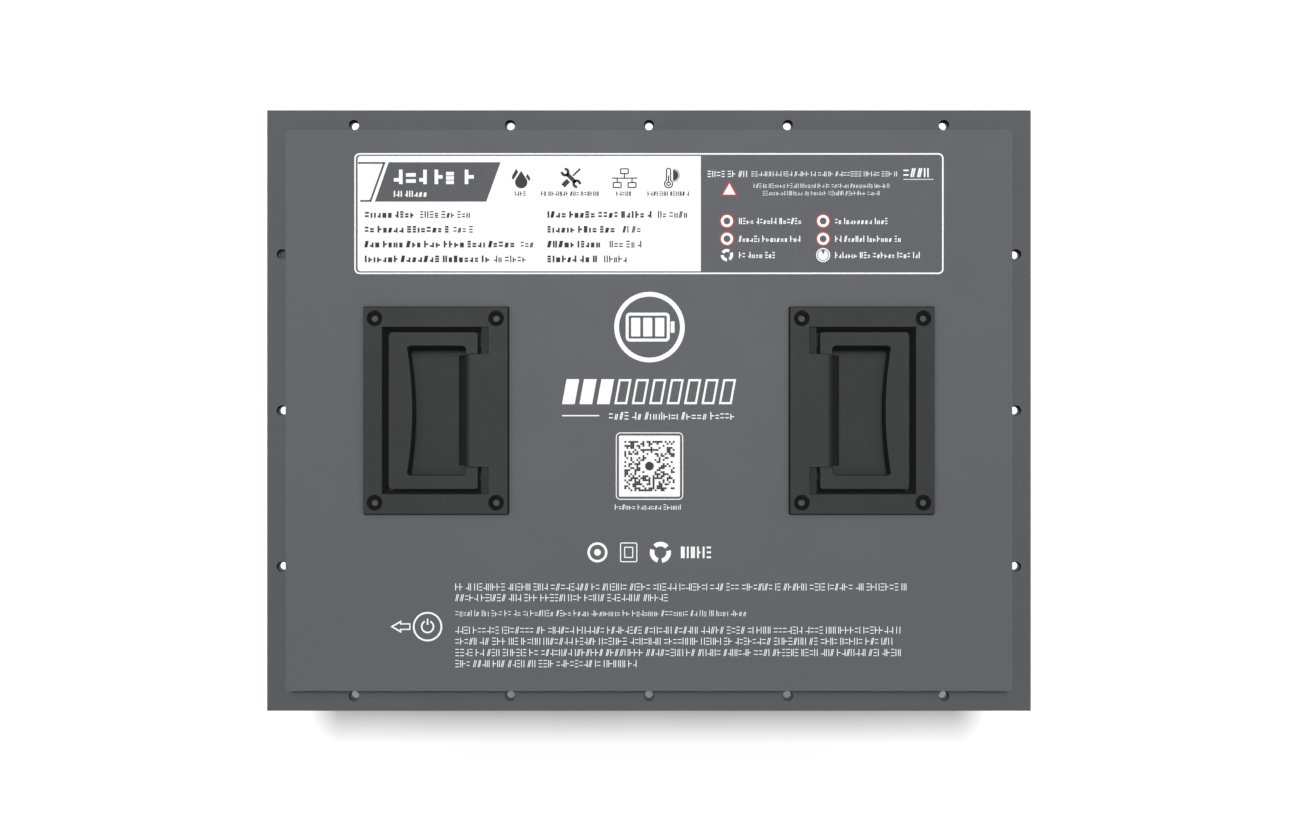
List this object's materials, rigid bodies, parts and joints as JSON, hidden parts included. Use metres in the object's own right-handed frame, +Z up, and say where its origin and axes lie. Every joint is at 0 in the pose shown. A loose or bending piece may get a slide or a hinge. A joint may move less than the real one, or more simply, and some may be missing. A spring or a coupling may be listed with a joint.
{
  "type": "sealed lithium battery pack",
  "caption": "Flat steel-cased lithium battery pack with a flanged lid, recessed folding handles, capped power terminals and a main switch.",
  "frame": {"origin": "centre of the tub's flat base", "axes": "+Z up through the lid, -X towards the wall with the terminals and switch, +Y towards the rear"},
  "size_m": [0.4546, 0.346, 0.1746],
  "materials": {
    "case_paint": "grey powder coat, fine texture",
    "handle_paint": "black powder coat over die casting",
    "zinc_steel": "zinc plated",
    "black_steel": "black oxide, bare in the socket",
    "spring_steel": "bright wire",
    "seal_rubber": "closed-cell rubber",
    "label_film": "printed film",
    "cell_aluminium": "drawn can",
    "electrode_roll": null,
    "copper": "bare copper",
    "blue_film": "shrink film",
    "insulator": "moulded insulator",
    "board_sheet": "glass-epoxy sheet",
    "foam": "closed-cell foam",
    "circuit_board": "green solder mask",
    "fuse_ceramic": "ceramic body, plated blades",
    "red_plastic": "moulded red",
    "black_plastic": "moulded black",
    "red_cable": "silicone sheath",
    "black_cable": "silicone sheath",
    "wire_bundle": "taped wires",
    "brass": "turned",
    "stainless": "turned stainless",
    "clear_light": "frosted light guide",
    "cap_rubber": "moulded rubber"
  },
  "bodies": {
    "case": {"case_tub": "case_paint", "lid": "case_paint", "lid_seal": "seal_rubber", "lid_studs": "zinc_steel", "lid_nuts": "zinc_steel", "rating_label": "label_film", "left_handle_housing": "handle_paint", "right_handle_housing": "handle_paint", "left_handle_springs": "spring_steel", "right_handle_springs": "spring_steel", "handle_pins": "stainless", "handle_seals": "seal_rubber", "handle_backplates": "zinc_steel", "handle_screws": "black_steel", "handle_nuts": "zinc_steel", "cell_cans": "cell_aluminium", "cell_cap_plates": "cell_aluminium", "cell_electrode_stacks": "electrode_roll", "cell_positive_terminals": "cell_aluminium", "cell_negative_terminals": "copper", "cell_terminal_seals": "insulator", "cell_vent_discs": "cell_aluminium", "cell_sleeves": "blue_film", "cell_spacers": "board_sheet", "front_end_plate": "cell_aluminium", "rear_end_plate": "cell_aluminium", "module_bands": "stainless", "busbars": "copper", "busbar_nuts": "zinc_steel", "busbar_cover": "board_sheet", "floor_pad": "foam", "foam_pads": "foam", "bms_bracket": "zinc_steel", "bms_heatsink": "cell_aluminium", "bms_board": "circuit_board", "bms_components": "insulator", "bms_screws": "zinc_steel", "fuse_base": "insulator", "main_fuse": "fuse_ceramic", "fuse_nuts": "zinc_steel", "positive_cables": "red_cable", "negative_cables": "black_cable", "sense_harness": "wire_bundle", "positive_terminal_block": "red_plastic", "negative_terminal_block": "black_plastic", "terminal_screws": "zinc_steel", "terminal_studs": "brass", "terminal_cap_pins": "stainless", "switch_body": "stainless", "switch_light_ring": "clear_light", "panel_nuts": "zinc_steel", "port_shells": "zinc_steel", "vent_valve": "black_plastic"},
    "left_handle": {"left_handle_bail": "handle_paint"},
    "right_handle": {"right_handle_bail": "handle_paint"},
    "positive_cap": {"positive_terminal_cap": "red_plastic"},
    "negative_cap": {"negative_terminal_cap": "black_plastic"},
    "power_button": {"switch_button": "stainless"},
    "comm_cap": {"comm_port_cap": "cap_rubber"},
    "display_cap": {"display_port_cap": "cap_rubber"}
  },
  "joints": [
    {"name": "left_handle_hinge", "type": "hinge", "parent": "case", "child": "left_handle", "pos_m": [-0.1004, 0, 0.17], "axis": [0, 1, 0], "range_deg": [0, 90], "stiffness_Nm_per_rad": 0.02, "deforming": ["left_handle_springs"]},
    {"name": "right_handle_hinge", "type": "hinge", "parent": "case", "child": "right_handle", "pos_m": [0.1004, 0, 0.17], "axis": [0, -1, 0], "range_deg": [0, 90], "stiffness_Nm_per_rad": 0.02, "deforming": ["right_handle_springs"]},
    {"name": "positive_cap_hinge", "type": "hinge", "parent": "case", "child": "positive_cap", "pos_m": [-0.211, 0.124, 0.118], "axis": [0, 1, 0], "range_deg": [0, 95]},
    {"name": "negative_cap_hinge", "type": "hinge", "parent": "case", "child": "negative_cap", "pos_m": [-0.211, 0.086, 0.118], "axis": [0, 1, 0], "range_deg": [0, 95]},
    {"name": "power_button_press", "type": "slide", "parent": "case", "child": "power_button", "axis": [1, 0, 0], "range_m": [0, 0.0025], "stiffness_N_per_m": 200},
    {"name": "comm_cap_pull", "type": "slide", "parent": "case", "child": "comm_cap", "axis": [-1, 0, 0], "range_m": [0, 0.02]},
    {"name": "display_cap_pull", "type": "slide", "parent": "case", "child": "display_cap", "axis": [-1, 0, 0], "range_m": [0, 0.02]}
  ]
}
